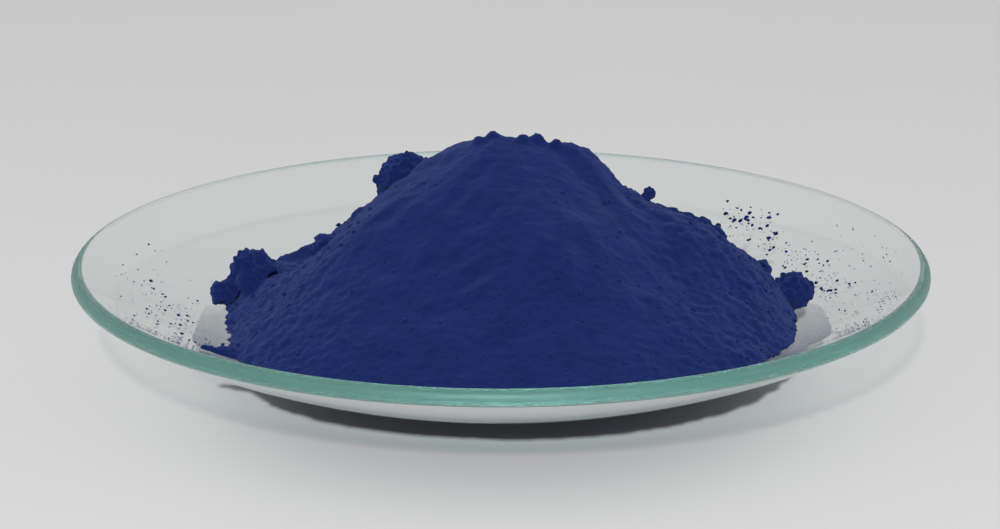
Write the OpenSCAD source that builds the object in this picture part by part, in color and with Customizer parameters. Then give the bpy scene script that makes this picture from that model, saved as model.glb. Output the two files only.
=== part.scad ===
// Watch glass, a shallow round dish of clear glass, with a heap of dry pigment powder lying in it.
// The origin is the lowest point of the glass, +Z is up and -Y is the front of the heap.
// Lengths are millimetres.

/* [Watch glass] */
// Overall diameter of the glass
glass_d = 100; // [70:1:140]
// Radius of the curve that the underside follows
curve_r = 100; // [85:1:180]
// Thickness of the glass
glass_t = 2; // [1.2:0.1:3]
// Radius of the two polished corners of the edge
corner_r = 0.95; // [0.2:0.05:1]

/* [Heap of powder] */
// Height of the heap above the middle of the glass
heap_h = 27.4; // [12:0.2:40]
// Width of bare glass between the rim and the foot of the heap
bare_w = 14; // [8:0.5:24]
// How much further the foot reaches at the front than at the back
forward = 3; // [0:0.5:6]
// How much wider the foot is from front to back than from side to side
oval = 2.2; // [0:0.2:5]
// Shape of the slope: 1 is a straight cone, and more is rounder
slope_p = 1.4; // [1:0.05:2.5]
// Gap between the powder and the glass
powder_gap = 0.1; // [0.05:0.05:0.5]

/* [Clods and crumbs] */
// Radius of the clod at the left of the foot
clod_left_r = 2.7; // [2:0.1:5]
// Radius of the clod high on the back of the left slope
clod_back_r = 3.6; // [2:0.2:5]
// Radius of the clod in the middle of the left slope
clod_mid_r = 1.8; // [1:0.2:4]
// Radius of the clod at the right of the foot
clod_right_r = 2.4; // [1:0.2:4]
// Radius of the crumb on the right shoulder
crumb_r = 0.9; // [0.6:0.1:2]
// Radius of the largest loose crumb on the glass
loose_r = 0.8; // [0.4:0.1:1.2]
// Radius of the largest loose grain on the glass
grain_r = 0.35; // [0.2:0.05:0.5]
// Number of loose crumbs behind the right slope
loose_count = 9; // [4:1:16]
// Number of loose grains in each patch
grain_count = 16; // [6:1:24]

/* [Hidden] */
glass_fn = 192;
grain_fn = 24;
heap_rings = 16;
heap_sides = 56;
clod_rings = 7;
clod_sides = 12;
inner_r = curve_r - glass_t;
edge_r = min(corner_r, 0.475 * glass_t);
// The edge is ground square to the curve, so its corners are found by the angle from the axis
edge_a = asin((glass_d / 2 - edge_r) / (curve_r - edge_r));
heap_r = glass_d / 2 - bare_w;
bed_r = inner_r - powder_gap;
// Shoulders and hollows of the heap: angle, share of the way out to the foot, height, width
SHOULDERS = [
    [10, 0.30, 2.0, 4.4], [352, 0.79, 5.0, 8.5], [118, 0.40, 1.2, 7], [205, 0.55, 1.4, 6],
    [250, 0.62, -1.2, 9], [285, 0.50, 1.3, 8], [320, 0.66, -0.9, 6], [60, 0.60, 1.0, 8],
    [165, 0.74, -7.0, 6.5], [3, 1.0, 9, 3.6]
];

// Height of the underside of the powder at distance r from the axis
function bed_z(r) = curve_r - sqrt(bed_r * bed_r - r * r);
// Distance of the heap's foot from the axis, all round, with a toe and a bay at the sides of the front
function foot(a) = heap_r - forward * sin(a) - oval * cos(2 * a)
    + 0.5 * sin(5 * a + 40) + 0.35 * sin(9 * a + 110) + near(a, 336, 14) * 1.6 - near(a, 196, 14) * 2.1;
// 1 at the middle angle, falling to 0 beyond the width
function near(a, middle, width) = let (t = ((a - middle) % 360 + 540) % 360 - 180) exp(-t * t / (width * width));
// Sum of the shoulders at a place, by the widths and heights in the list above
function swell(x, y, i = 0) = i == len(SHOULDERS) ? 0 :
    let (b = SHOULDERS[i], d = b[1] * foot(b[0]), dx = x - d * cos(b[0]), dy = y - d * sin(b[0]))
    b[2] * exp(-(dx * dx + dy * dy) / (b[3] * b[3])) + swell(x, y, i + 1);
// Small lumps on the slope
function ripple(x, y) = 0.35 * sin(52 * x + 20) * sin(47 * y + 60) + 0.25 * sin(95 * x - 71 * y);
// Height of the heap's surface at angle a and share s of the way out to the foot
function heap_z(a, s) = let (r = s * foot(a), x = r * cos(a), y = r * sin(a))
    bed_z(r) + (1 - pow(s, slope_p)) * heap_h * (1 + swell(x, y) / 22) + (1 - s) * s * 3 * ripple(x, y)
    + min(1, 6 * (1 - s)) * max(0, swell(x, y)) * 0.35;
// A point of the heap's surface, lifted by z
function on_heap(a, s, z = 0) = let (r = s * foot(a)) [r * cos(a), r * sin(a), heap_z(a, s) + z];
// A point on the glass at angle a and distance d from the axis, for a grain of radius g
function on_glass(a, d, g) = let (q = bed_r - g, t = asin(d / q))
    [d * cos(a), d * sin(a), curve_r - q * cos(t)];
// Height of a clod's point, no lower than the glass
function above_bed(p) = [p[0], p[1], max(p[2], bed_z(norm([p[0], p[1]])))];

// Section of the glass: two concentric curves, joined by an edge with rounded corners
module glass_section() {
    difference() {
        intersection() {
            translate([0, curve_r]) circle(r = curve_r, $fn = glass_fn * 4);
            polygon([[0, -1], [0, curve_r], for (k = [0, 1]) corner_ray(k)]);
        }
        translate([0, curve_r]) circle(r = inner_r, $fn = glass_fn * 4);
    }
    for (q = [curve_r - edge_r, inner_r + edge_r])
        translate([q * sin(edge_a), curve_r - q * cos(edge_a)]) circle(r = edge_r, $fn = 48);
}
// Two points of the line that ends the curved part of the section
function corner_ray(k) = let (q = k == 0 ? curve_r * 0.5 : curve_r * 1.1)
    [q * sin(edge_a), curve_r - q * cos(edge_a)];

module watch_glass() {
    color([0.74, 0.86, 0.83, 0.45])
        rotate_extrude($fn = glass_fn) glass_section();
}

// A closed heap: a ring of points for each step outwards, above and below, and one shared foot
module powder_heap() {
    n = heap_rings;
    m = heap_sides;
    top = [for (i = [1:n - 1], j = [0:m - 1]) on_heap(360 * j / m, i / n)];
    foot_ring = [for (j = [0:m - 1]) let (a = 360 * j / m, r = foot(a))
        [r * cos(a), r * sin(a), bed_z(r)]];
    under = [for (i = [n - 1:-1:1], j = [0:m - 1]) let (a = 360 * j / m, r = foot(a) * i / n)
        [r * cos(a), r * sin(a), bed_z(r)]];
    rings = 2 * n - 1;
    last = rings * m + 1;
    points = concat([on_heap(0, 0)], top, foot_ring, under, [[0, 0, bed_z(0)]]);
    faces = concat(
        [for (j = [0:m - 1]) [0, 1 + (j + 1) % m, 1 + j]],
        [for (i = [0:rings - 2], j = [0:m - 1]) let (p = 1 + i * m, k = (j + 1) % m)
            each [[p + j, p + k, p + m + j], [p + k, p + m + k, p + m + j]]],
        [for (j = [0:m - 1]) let (p = 1 + (rings - 1) * m) [p + j, p + (j + 1) % m, last]]
    );
    color([0.10, 0.14, 0.38]) polyhedron(points, faces, convexity = 4);
}

// A lumpy ball of powder with its middle at c, that no point of sinks into the glass
module clod(c, r, turn = 0, squash = 0.9) {
    n = clod_rings;
    m = clod_sides;
    function bulge(i, j) = 1 + 0.10 * sin(3 * 360 * j / m + 70 * i + turn) + 0.06 * sin(5 * turn + 140 * i);
    ring = [for (i = [1:n - 1], j = [0:m - 1])
        let (t = 180 * i / n, a = 360 * j / m + turn, q = r * bulge(i, j))
        above_bed(c + [q * sin(t) * cos(a), q * sin(t) * sin(a), squash * q * cos(t)])];
    points = concat([above_bed(c + [0, 0, squash * r])], ring, [above_bed(c - [0, 0, squash * r])]);
    last = (n - 1) * m + 1;
    faces = concat(
        [for (j = [0:m - 1]) [0, 1 + (j + 1) % m, 1 + j]],
        [for (i = [0:n - 3], j = [0:m - 1]) let (p = 1 + i * m, k = (j + 1) % m)
            each [[p + j, p + k, p + m + j], [p + k, p + m + k, p + m + j]]],
        [for (j = [0:m - 1]) let (p = 1 + (n - 2) * m) [p + j, p + (j + 1) % m, last]]
    );
    color([0.10, 0.14, 0.38]) polyhedron(points, faces, convexity = 4);
}

// The smaller clod lies against the larger one, at a distance that only their sizes set
module clod_left() {
    small_r = 0.62 * clod_left_r;
    middle = on_heap(168, 0.90, 0.6 * clod_left_r);
    towards = on_heap(173, 1, 0.6 * clod_left_r) - middle;
    clod(middle, clod_left_r, 15);
    clod(middle + towards / norm(towards) * (1.04 * (clod_left_r + small_r)), small_r, 80);
}
module clod_mid_left() {
    clod(on_heap(170, 0.63, 0.25 * clod_mid_r), clod_mid_r, 40);
}
module clod_back_left() {
    clod(on_heap(152, 0.37, -0.35 * clod_back_r), clod_back_r, 25, 1);
}
module clod_right() {
    clod(on_heap(3, 1, 0.85 * clod_right_r), clod_right_r, 60);
}
module crumb_shoulder() {
    clod(on_heap(4, 0.50, 0.5 * crumb_r), crumb_r, 30);
}

// Balls of powder lying on the bare glass between two angles, each in its own turn, in three rows
module scatter(from, to, count, size, seed) {
    row_w = (bare_w - 6) / 3;
    turns = rands(0, 0.5, count, seed);
    outs = rands(0, row_w - 2 * size, count, seed + 1);
    sizes = rands(0.5, 1, count, seed + 2);
    color([0.10, 0.14, 0.38])
        for (i = [0:count - 1]) {
            g = size * sizes[i];
            a = from + (to - from) * (i + turns[i]) / count;
            translate(on_glass(a, heap_r + 2.4 + size + i % 3 * row_w + outs[i], g))
                sphere(r = g, $fn = grain_fn);
        }
}
module crumbs_loose() { scatter(29, 50, loose_count, loose_r, 4); }
module grains_left() { scatter(168, 208, grain_count, grain_r, 21); }
module grains_right() { scatter(-20, 26, grain_count, grain_r, 33); }

watch_glass();
powder_heap();
clod_left();
clod_mid_left();
clod_back_left();
clod_right();
crumb_shoulder();
crumbs_loose();
grains_left();
grains_right();
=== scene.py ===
import math
import random

import bpy
from mathutils import Matrix, Vector


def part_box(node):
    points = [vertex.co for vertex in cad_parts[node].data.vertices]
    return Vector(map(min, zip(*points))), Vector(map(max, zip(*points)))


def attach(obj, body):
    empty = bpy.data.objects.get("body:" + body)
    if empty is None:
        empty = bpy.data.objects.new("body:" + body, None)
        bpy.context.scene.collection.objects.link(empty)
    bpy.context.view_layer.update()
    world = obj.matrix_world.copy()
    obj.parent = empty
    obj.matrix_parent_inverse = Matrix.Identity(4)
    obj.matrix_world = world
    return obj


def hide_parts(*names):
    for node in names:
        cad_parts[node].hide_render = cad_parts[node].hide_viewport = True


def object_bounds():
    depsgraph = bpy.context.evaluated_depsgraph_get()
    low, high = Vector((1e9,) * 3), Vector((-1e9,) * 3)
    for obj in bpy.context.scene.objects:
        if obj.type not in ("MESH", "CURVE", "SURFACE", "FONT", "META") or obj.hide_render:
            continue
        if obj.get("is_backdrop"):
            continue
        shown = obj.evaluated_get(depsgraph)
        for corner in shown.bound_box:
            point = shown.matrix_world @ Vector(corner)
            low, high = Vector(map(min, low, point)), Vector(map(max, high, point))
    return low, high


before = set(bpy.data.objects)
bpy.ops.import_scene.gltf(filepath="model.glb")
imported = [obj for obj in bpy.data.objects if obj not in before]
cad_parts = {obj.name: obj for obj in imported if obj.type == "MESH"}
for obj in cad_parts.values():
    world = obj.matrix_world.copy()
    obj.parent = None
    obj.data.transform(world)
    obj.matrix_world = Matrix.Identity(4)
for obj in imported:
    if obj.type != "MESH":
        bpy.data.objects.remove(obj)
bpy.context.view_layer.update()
bpy.ops.object.select_all(action="DESELECT")

# ---------------------------------------------------------------- Watch glass
# One round dish of clear soda-lime glass. A disc cut from flat sheet is slumped into a mould, so both faces
# follow the same curve, and its edge is ground square to the curve and fire-polished nearly round.
# Seen along its thickness the glass is green, and through its face it has no colour.
rim_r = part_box("watch_glass")[1].x
curve_r = 0.100
wall = 0.002
edge_r = 0.00095
middle_r = curve_r - wall / 2
rim_turn = math.asin((rim_r - edge_r) / (curve_r - edge_r)) + math.asin(edge_r / (curve_r - edge_r))


def finished(obj, name, body, nodes, material):
    """Names a piece, gives it its finish, and sets it on its body in place of its CAD nodes."""
    obj.name = obj.data.name = name
    obj.data.materials.clear()
    obj.data.materials.append(material)
    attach(obj, body)
    if nodes:
        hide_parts(*nodes)


def with_modifier(obj, kind, **settings):
    """Adds a modifier with these settings and applies it."""
    bpy.context.view_layer.objects.active = obj
    modifier = obj.modifiers.new(kind.title(), kind)
    for key, value in settings.items():
        setattr(modifier, key, value)
    bpy.ops.object.modifier_apply(modifier=modifier.name)


class Wire:
    """A socket of a material's nodes, on which sums are written as expressions."""

    def __init__(self, tree, socket):
        self.tree, self.socket = tree, socket

    def sum(self, operation, a, b):
        return self.tree.node("ShaderNodeMath", {"operation": operation}, [a, b])[0]

    def __add__(self, other):
        return self.sum("ADD", self, other)

    __radd__ = __add__

    def __sub__(self, other):
        return self.sum("SUBTRACT", self, other)

    def __rsub__(self, other):
        return self.sum("SUBTRACT", other, self)

    def __mul__(self, other):
        return self.sum("MULTIPLY", self, other)

    __rmul__ = __mul__

    def __truediv__(self, other):
        return self.sum("DIVIDE", self, other)

    def __rtruediv__(self, other):
        return self.sum("DIVIDE", other, self)

    def __abs__(self):
        return self.sum("ABSOLUTE", self, 0.0)


class Finish:
    """A material whose nodes are made by one method."""

    def __init__(self, name):
        self.material = bpy.data.materials.new(name)
        self.material.use_nodes = True
        self.nodes = self.material.node_tree.nodes
        self.nodes.clear()

    def node(self, kind, settings=None, inputs=None):
        """A node of this type, with its settings set first and then its sockets, by place or by name.
        Gives its outputs."""
        made = self.nodes.new(kind)
        for key, value in (settings or {}).items():
            setattr(made, key, value)
        pairs = inputs.items() if isinstance(inputs, dict) else enumerate(inputs or [])
        for key, value in pairs:
            if isinstance(value, Wire):
                self.material.node_tree.links.new(value.socket, made.inputs[key])
            else:
                made.inputs[key].default_value = value
        return [Wire(self, out) for out in made.outputs]

    def place(self):
        """The point of the surface, in the piece's own metres."""
        return self.node("ShaderNodeTexCoord")[3]

    def noise(self, per_metre, detail, rough):
        """A noise between 0 and 1 with this many waves a metre."""
        return self.node("ShaderNodeTexNoise", {"noise_dimensions": "3D"}, {
            "Vector": self.place(), "Scale": per_metre, "Detail": detail, "Roughness": rough})[0]

    def ramp(self, value, low, high, to_low=0.0, to_high=1.0):
        """Value stretched from low..high to to_low..to_high, smoothly, and held there."""
        return self.node("ShaderNodeMapRange", {"interpolation_type": "SMOOTHSTEP"},
                         [value, low, high, to_low, to_high])[0]

    def blend(self, share, a, b):
        """Colour a where share is 0 and colour b where it is 1."""
        return self.node("ShaderNodeMix", {"data_type": "RGBA"}, {0: share, 6: a, 7: b})[2]

    def output(self, surface, volume=None):
        """Sets the shaders that the piece shows."""
        self.node("ShaderNodeOutputMaterial", None, [surface] + ([volume] if volume else []))


clear_glass = Finish("clear_glass")
smears = clear_glass.noise(55, 3, 0.6)
# Only the middle of the edge is left frosted by the grinding, and its rounded corners are clear
across = clear_glass.node("ShaderNodeVectorMath", {"operation": "MULTIPLY"},
                          [clear_glass.place(), (1, 1, 0)])[0]
from_axis = clear_glass.node("ShaderNodeVectorMath", {"operation": "LENGTH"}, [across])[1]
from_middle = clear_glass.node("ShaderNodeVectorMath", {"operation": "DISTANCE"},
                               [clear_glass.place(), (0, 0, curve_r)])[1]
edge_sines = [math.sin(rim_turn - depth / middle_r) for depth in (0.0009, 0.0005)]
at_edge = clear_glass.ramp(from_axis / from_middle, *edge_sines)
at_edge = at_edge * clear_glass.ramp(abs(from_middle - middle_r), 0.0009, 0.00055)
glazed = clear_glass.node("ShaderNodeBsdfPrincipled", None, {
    "Base Color": clear_glass.blend(at_edge, (1, 1, 1, 1), (0.74, 0.97, 0.95, 1)),
    "Roughness": clear_glass.ramp(smears, 0.45, 0.8, 0.0, 0.01) + 0.42 * at_edge,
    "Transmission Weight": 1.0, "IOR": 1.52})[0]
# Lamp light comes straight through the glass, less what it mirrors at a slant where it enters and what the
# round edge throws aside
let_by = clear_glass.node("ShaderNodeBsdfTransparent", None, [(0.965, 0.972, 0.972, 1)])[0]
kept_back = clear_glass.node("ShaderNodeBsdfTransparent", None, [(0.16, 0.19, 0.19, 1)])[0]
leaving = clear_glass.node("ShaderNodeNewGeometry")[6]
mirrored = clear_glass.node("ShaderNodeFresnel", None, {"IOR": 1.52})[0] * (0.06 - 0.06 * leaving)
passing = clear_glass.node("ShaderNodeMixShader", None, [mirrored, let_by, kept_back])[0]
passing = clear_glass.node("ShaderNodeMixShader", None, [0.12 * at_edge, passing, kept_back])[0]
is_shadow_ray, is_diffuse_ray = clear_glass.node("ShaderNodeLightPath")[1:3]
for is_light in (is_shadow_ray, is_diffuse_ray):
    glazed = clear_glass.node("ShaderNodeMixShader", None, [is_light, glazed, passing])[0]
green = clear_glass.node("ShaderNodeVolumeAbsorption", None, {
    "Color": (0.20, 0.68, 0.61, 1.0), "Density": 13.0})[0]
clear_glass.output(glazed, green)

bpy.ops.mesh.primitive_uv_sphere_add(segments=256, ring_count=148, radius=middle_r, location=(0, 0, curve_r))
dish = bpy.context.object
bpy.ops.object.transform_apply(location=True, rotation=False, scale=False)
bpy.ops.object.mode_set(mode="EDIT")
bpy.ops.mesh.select_all(action="SELECT")
bpy.ops.mesh.bisect(plane_co=(0, 0, curve_r - middle_r * math.cos(rim_turn)), plane_no=(0, 0, 1),
                    clear_outer=True)
# A ring just inside the rounded edge holds the curve of the faces
past_edge = 0.00012
hold_turn = rim_turn - (edge_r + past_edge) / middle_r
bpy.ops.mesh.select_all(action="SELECT")
bpy.ops.mesh.bisect(plane_co=(0, 0, curve_r - middle_r * math.cos(hold_turn)), plane_no=(0, 0, 1))
bpy.ops.object.mode_set(mode="OBJECT")
with_modifier(dish, "SOLIDIFY", thickness=wall, offset=0.0, use_even_offset=True)
with_modifier(dish, "BEVEL", width=edge_r, segments=10, limit_method="ANGLE", angle_limit=math.radians(60))
bpy.ops.object.shade_smooth()
finished(dish, "glass_dish", "glass", ["watch_glass"], clear_glass.material)

# ----------------------------------------------------------- Heap of pigment
# Dry, very fine dark blue pigment, tipped out in one heap. It cakes into soft lumps, so its slope has
# shoulders, small cliffs and crumbs that hang on, and it lies on the curve of the glass.
powder_gap = 0.0001
bed_r = curve_r - wall - powder_gap
bed_middle = Vector((0, 0, curve_r))

pigment = Finish("blue_pigment")
lumps = pigment.noise(210, 4, 0.6)
flecks = pigment.noise(1500, 4, 0.65)
shade = pigment.blend(pigment.ramp(lumps, 0.30, 0.70),
                      (0.0053, 0.0118, 0.0715, 1), (0.0066, 0.0146, 0.0850, 1))
shade = pigment.blend(pigment.ramp(flecks, 0.55, 0.80, 0.0, 0.35), shade, (0.0180, 0.0320, 0.1250, 1))
relief = pigment.noise(900, 5, 0.65) + 0.6 * pigment.noise(2600, 3, 0.6)
grainy = pigment.node("ShaderNodeBump", None, {"Strength": 0.5, "Distance": 0.0003, "Height": relief})[0]
powdery = pigment.node("ShaderNodeBsdfPrincipled", None, {
    "Base Color": shade, "Roughness": 1.0, "Specular IOR Level": 0.05, "Diffuse Roughness": 1.0,
    "Sheen Weight": 0.05, "Sheen Roughness": 0.6, "Sheen Tint": (0.55, 0.70, 1.0, 1), "Normal": grainy})[0]
pigment.output(powdery)


def caked(node, voxel, lumps_mm, clumps, dents=(), calm_mm=None):
    """A heap or clod of caked powder, grown from a CAD solid. Clumps, given as place and radius in
    millimetres, are added, and it is remeshed evenly and roughened by layers of lumps, given as size, height
    and kind, less within calm_mm of the middle. Balls, the dents, are pressed into it from above, and where a
    lump would sink into the glass it is laid back on its curve."""
    bpy.ops.object.select_all(action="DESELECT")
    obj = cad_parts[node].copy()
    obj.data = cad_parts[node].data.copy()
    obj.parent = None
    # The copy drops the marks that the frame keeps on its nodes
    for key in list(obj.keys()):
        del obj[key]
    obj.hide_render = obj.hide_viewport = False
    bpy.context.scene.collection.objects.link(obj)
    parts = [obj]
    for x, y, z, r in clumps:
        bpy.ops.mesh.primitive_ico_sphere_add(subdivisions=3, radius=r / 1000,
                                              location=(x / 1000, y / 1000, z / 1000))
        parts.append(bpy.context.object)
    for part in parts:
        part.select_set(True)
    bpy.context.view_layer.objects.active = obj
    bpy.ops.object.join()
    # The CAD solid's own normals would shade the new surface
    if "custom_normal" in obj.data.attributes:
        obj.data.attributes.remove(obj.data.attributes["custom_normal"])
    bpy.ops.object.mode_set(mode="EDIT")
    bpy.ops.mesh.select_all(action="SELECT")
    bpy.ops.mesh.remove_doubles(threshold=1e-6)
    bpy.ops.object.mode_set(mode="OBJECT")
    with_modifier(obj, "REMESH", mode="VOXEL", voxel_size=voxel, adaptivity=0.0)
    rough = obj.vertex_groups.new(name="rough")
    least_rough, fade_mm = 0.35, 16
    for point in obj.data.vertices:
        share = 1.0 if calm_mm is None else (abs(point.co.x) * 1000 - calm_mm) / fade_mm
        rough.add([point.index], min(1, max(least_rough, share)), "REPLACE")
    for i, (size, high, kind) in enumerate(lumps_mm):
        lump = bpy.data.textures.new(f"{node}_lumps_{i}", "CLOUDS" if kind == "soft" else "VORONOI")
        lump.noise_scale = size / 1000
        if kind == "soft":
            lump.noise_depth = 3
            lump.noise_basis = "ORIGINAL_PERLIN"
        else:
            lump.distance_metric = "DISTANCE"
        with_modifier(obj, "DISPLACE", texture=lump, texture_coords="LOCAL", strength=high / 1000,
                      vertex_group="rough", mid_level=0.5 if kind == "soft" else 0.35)
    for point in obj.data.vertices:
        for x, y, z, r in dents:
            beside = math.hypot(point.co.x * 1000 - x, point.co.y * 1000 - y)
            if beside < r:
                point.co.z = min(point.co.z, (z - math.sqrt(r * r - beside * beside)) / 1000)
        away = point.co - bed_middle
        if away.length > bed_r:
            point.co = bed_middle + away * (bed_r / away.length)
    bpy.ops.object.shade_smooth()
    return obj


shoulders = [
    # One halfway up the left slope, and five along the top
    (-16.4, 6, 18.2, 1.3),
    (-2.6, 0, 29.0, 0.75), (-0.9, 1, 29.2, 0.9), (2.6, 0, 29.2, 0.75), (4.1, 1, 28.7, 1.1),
    (6.4, 0, 28.6, 0.8),
    # Down the right slope, and beside the clods at both sides of the foot
    (18.4, 6, 19.1, 1.0), (20.2, 6, 18.7, 1.0), (22.0, 6, 18.1, 1.0), (23.8, 6, 17.2, 1.1),
    (25.6, 6, 15.9, 1.0), (30.6, 3, 12.6, 1.3), (-30.0, 4.5, 10.8, 1.5),
    # A toe at the left of the front, and the ragged left foot
    (-30.5, -19, 9.0, 1.1), (-31.5, -20, 9.6, 0.9), (-32.6, -20, 10.0, 0.7), (-33.4, -20.5, 10.3, 0.5),
    (-31.8, -2, 7.5, 0.7), (-31.7, -4.5, 7.2, 0.6), (-31.6, -6.2, 7.8, 0.5), (-31.2, -9, 7.3, 0.8),
    (-30.8, -11.5, 7.7, 0.6)]
# A groove over the left slope and a shorter one over the right, each a row of balls that falls to the back
hollows = [(-25, 1.4 + 3 * i, 19.6 - 0.89 * i, 5.6) for i in range(5)]
hollows += [(15.3, -1.3 + 3 * i, 26.1 - 0.89 * i, 2.6) for i in range(3)]
heap_lumps = [(6.0, 1.0, "soft"), (2.2, 0.6, "soft"), (1.1, -0.55, "crumb"), (0.6, 0.35, "soft")]
heap = caked("powder_heap", 0.00038, heap_lumps, shoulders, hollows, 8)
finished(heap, "pigment_heap", "powder", ["powder_heap"], pigment.material)

# --------------------------------------------------------------------- Clods
# Lumps of the same pigment that rolled down when the heap was tipped out: two at the left of the foot, one
# halfway up, one high on the back, one at the right of the foot, and a crumb on the right shoulder.
chance = random.Random(11)
clod_lumps = [(2.4, 1.0, "soft"), (1.0, 0.9, "soft"), (0.8, -0.5, "crumb"), (0.4, 0.3, "soft")]
knob_count, knob_depth = 40, 0.9
for node in ("clod_left", "clod_mid_left", "clod_back_left", "clod_right", "crumb_shoulder"):
    low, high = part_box(node)
    height_mm = (high.z - low.z) * 1000
    heart_mm = (low + high) / 2 * 1000
    knobs = []
    for _ in range(knob_count):
        surface_mm = chance.choice(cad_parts[node].data.vertices).co * 1000
        point = heart_mm.lerp(surface_mm, knob_depth)
        knobs.append((*point, height_mm * chance.uniform(0.04, 0.11)))
    clod = caked(node, 0.00020, clod_lumps, knobs)
    finished(clod, "pigment_" + node, "powder", [node], pigment.material)

# ---------------------------------------------------------- Crumbs and grains
# Crumbs of the pigment that cling to the slopes, and crumbs and single grains that lie loose on the bare
# glass: a patch of crumbs behind the right slope, and finer grains at both sides near the foot and the rim.
bpy.ops.object.select_all(action="DESELECT")
bpy.ops.mesh.primitive_ico_sphere_add(subdivisions=1, radius=1.0)
grain = bpy.context.object
roughness = bpy.data.textures.new("grain_roughness", "CLOUDS")
roughness.noise_scale = 0.8
with_modifier(grain, "DISPLACE", texture=roughness, texture_coords="LOCAL", strength=0.9)
bpy.ops.object.shade_smooth()


def sow(lie):
    """Adds a selected copy of the grain, placed, turned and squashed by this matrix."""
    copy = grain.copy()
    copy.data = grain.data.copy()
    copy.data.transform(lie)
    bpy.context.scene.collection.objects.link(copy)
    copy.select_set(True)
    bpy.context.view_layer.objects.active = copy


def grain_size(chance, least, most):
    """A radius in metres from two limits in millimetres, in most cases near the lower one."""
    return (least + (most - least) * chance.random() ** 3) / 1000


def clinging(name, host, seed, count, least, most):
    """Grains half sunk in the upper side of a heap, few at its middle and most at its crumbly foot."""
    chance = random.Random(seed)
    bpy.ops.object.select_all(action="DESELECT")
    points = host.data.vertices
    foot_r, sunk = 0.036, 0.15
    made = 0
    while made < count:
        point = points[chance.randrange(len(points))]
        side = math.hypot(point.co.x, point.co.y)
        if point.normal.z < 0.05 or chance.random() > 0.04 + 0.96 * (side / foot_r) ** 2:
            continue
        size = grain_size(chance, least, most)
        place = point.co + point.normal * size * sunk
        if (place - bed_middle).length + size > bed_r:
            continue
        lie = Matrix.Translation(place) @ Matrix.Rotation(chance.uniform(0, 6.28), 4, "X")
        lie @= Matrix.Rotation(chance.uniform(0, 6.28), 4, "Z")
        lie @= Matrix.Diagonal((size, size * chance.uniform(0.7, 1.2), size * chance.uniform(0.6, 1.0), 1))
        sow(lie)
        made += 1
    bpy.ops.object.join()
    finished(bpy.context.object, name, "powder", [], pigment.material)


clinging("pigment_heap_crumbs", heap, 3, 1100, 0.10, 0.42)


def strewn(name, node, seed, patches):
    """Grains, each squashed and turned its own way, lying on the glass in patches given as from and to in
    degrees round the dish, from and to in millimetres from its middle, how many, and least and most size."""
    chance = random.Random(seed)
    bpy.ops.object.select_all(action="DESELECT")
    flattest, tallest = 0.5, 0.6
    for turn_0, turn_1, out_0, out_1, count, least, most in patches:
        for _ in range(count):
            size = grain_size(chance, least, most)
            turn = math.radians(chance.uniform(turn_0, turn_1))
            out = chance.uniform(out_0, out_1) / 1000
            rest_r = bed_r - size * tallest
            tilt = math.asin(out / rest_r)
            away = Vector((math.sin(tilt) * math.cos(turn), math.sin(tilt) * math.sin(turn), -math.cos(tilt)))
            upright = away.to_track_quat("Z", "Y").to_matrix().to_4x4()
            lie = Matrix.Translation(bed_middle + away * rest_r)
            lie @= upright @ Matrix.Rotation(chance.uniform(0, 6.28), 4, "Z")
            lie @= Matrix.Diagonal((size * chance.uniform(0.7, 1.3), size * chance.uniform(0.7, 1.2),
                                    size * chance.uniform(flattest, tallest), 1))
            sow(lie)
    bpy.ops.object.join()
    finished(bpy.context.object, name, "powder", [node], pigment.material)


strewn("pigment_crumbs", "crumbs_loose", 5, [
    (38, 50, 40, 43.8, 50, 0.08, 0.42), (33, 46, 38.5, 42, 26, 0.08, 0.40),
    (24, 36, 37.5, 41, 30, 0.08, 0.36)])
strewn("pigment_grains_left", "grains_left", 6, [
    (160, 214, 36, 45, 50, 0.08, 0.18), (176, 208, 35.5, 42, 60, 0.08, 0.28)])
strewn("pigment_grains_right", "grains_right", 7, [
    (-16, 30, 38, 47, 80, 0.08, 0.18), (0, 26, 37, 41, 70, 0.08, 0.30),
    (-32, -8, 44.5, 47, 36, 0.07, 0.14)])
bpy.data.objects.remove(grain)

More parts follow.
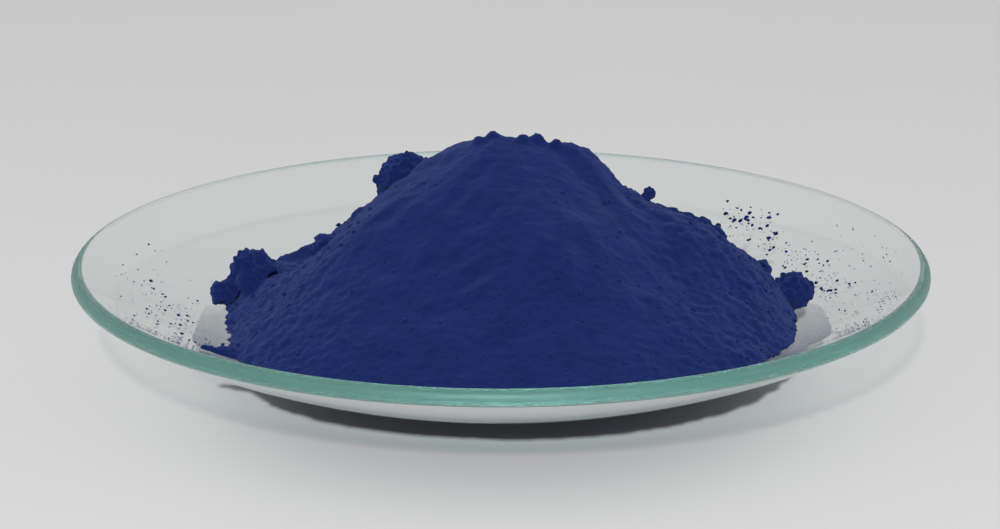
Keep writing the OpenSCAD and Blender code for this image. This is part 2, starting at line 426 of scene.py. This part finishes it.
# ----------------------------------------------------------- Floor and light
# A plain pale tabletop that the dish stands on. It isn't part of the object.
table = Finish("pale_table")
mottle = table.noise(9, 3, 0.5)
table.output(table.node("ShaderNodeBsdfPrincipled", None, {
    "Base Color": table.blend(table.ramp(mottle, 0.3, 0.7), (0.715, 0.715, 0.71, 1), (0.73, 0.73, 0.725, 1)),
    "Roughness": 0.6, "Specular IOR Level": 0.3})[0])
bpy.ops.mesh.primitive_circle_add(vertices=96, radius=4.0, fill_type="NGON")
floor = bpy.context.object
floor.name = "tabletop"
floor.data.materials.append(table.material)
floor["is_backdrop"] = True

# A small lamp in front, a little to the left and above the camera, and soft light from all round. It is two
# lamps at one place: only the weaker one shows in the glass, where the full light would glare in the edge.
world = bpy.data.worlds.new("room")
bpy.context.scene.world = world
world.use_nodes = True
world.node_tree.nodes["Background"].inputs[0].default_value = (0.985, 0.99, 1.0, 1)
world.node_tree.nodes["Background"].inputs[1].default_value = 0.41


def lamp(name, side, height, distance, size, watts, in_glass):
    """A square lamp that shines on the dish, side degrees to the right of the front and height degrees above
    the table. It shows in the glass, by gloss and through it, or only lights what isn't glass."""
    light = bpy.data.lights.new(name, "AREA")
    light.size, light.energy = size, watts
    obj = bpy.data.objects.new(name, light)
    obj.visible_glossy = obj.visible_transmission = in_glass
    bpy.context.scene.collection.objects.link(obj)
    side, height = math.radians(side), math.radians(height)
    out = distance * math.cos(height)
    obj.location = (out * math.sin(side), -out * math.cos(side), distance * math.sin(height))
    obj.rotation_euler = (-obj.location).to_track_quat("-Z", "Y").to_euler()


for name, watts, in_glass in (("front_lamp", 32.0, False), ("glint_lamp", 11.0, True)):
    lamp(name, -3, 30, 2.0, 0.067, watts, in_glass)

# -------------------------------------------------------------------- Camera
view = bpy.data.cameras.new("camera")
camera = bpy.data.objects.new("camera", view)
bpy.context.scene.collection.objects.link(camera)
bpy.context.scene.camera = camera
aim = Vector((0, 0, 0.01398))
look_down = math.radians(16.5)
distance = 0.480
camera.location = aim + Vector((0, -math.cos(look_down), math.sin(look_down))) * distance
camera.rotation_euler = (aim - camera.location).to_track_quat("-Z", "Y").to_euler()
view.sensor_width = 36.0
view.lens = 147.9
view.shift_x, view.shift_y = -0.001, 0.0015
view.clip_start = 0.01

# Light goes round inside the edge of the glass many times before it leaves, which makes the edge green.
cycles = bpy.context.scene.cycles
cycles.max_bounces = cycles.transmission_bounces = cycles.glossy_bounces = 48
bpy.context.scene.view_settings.view_transform = "Standard"

low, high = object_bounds()
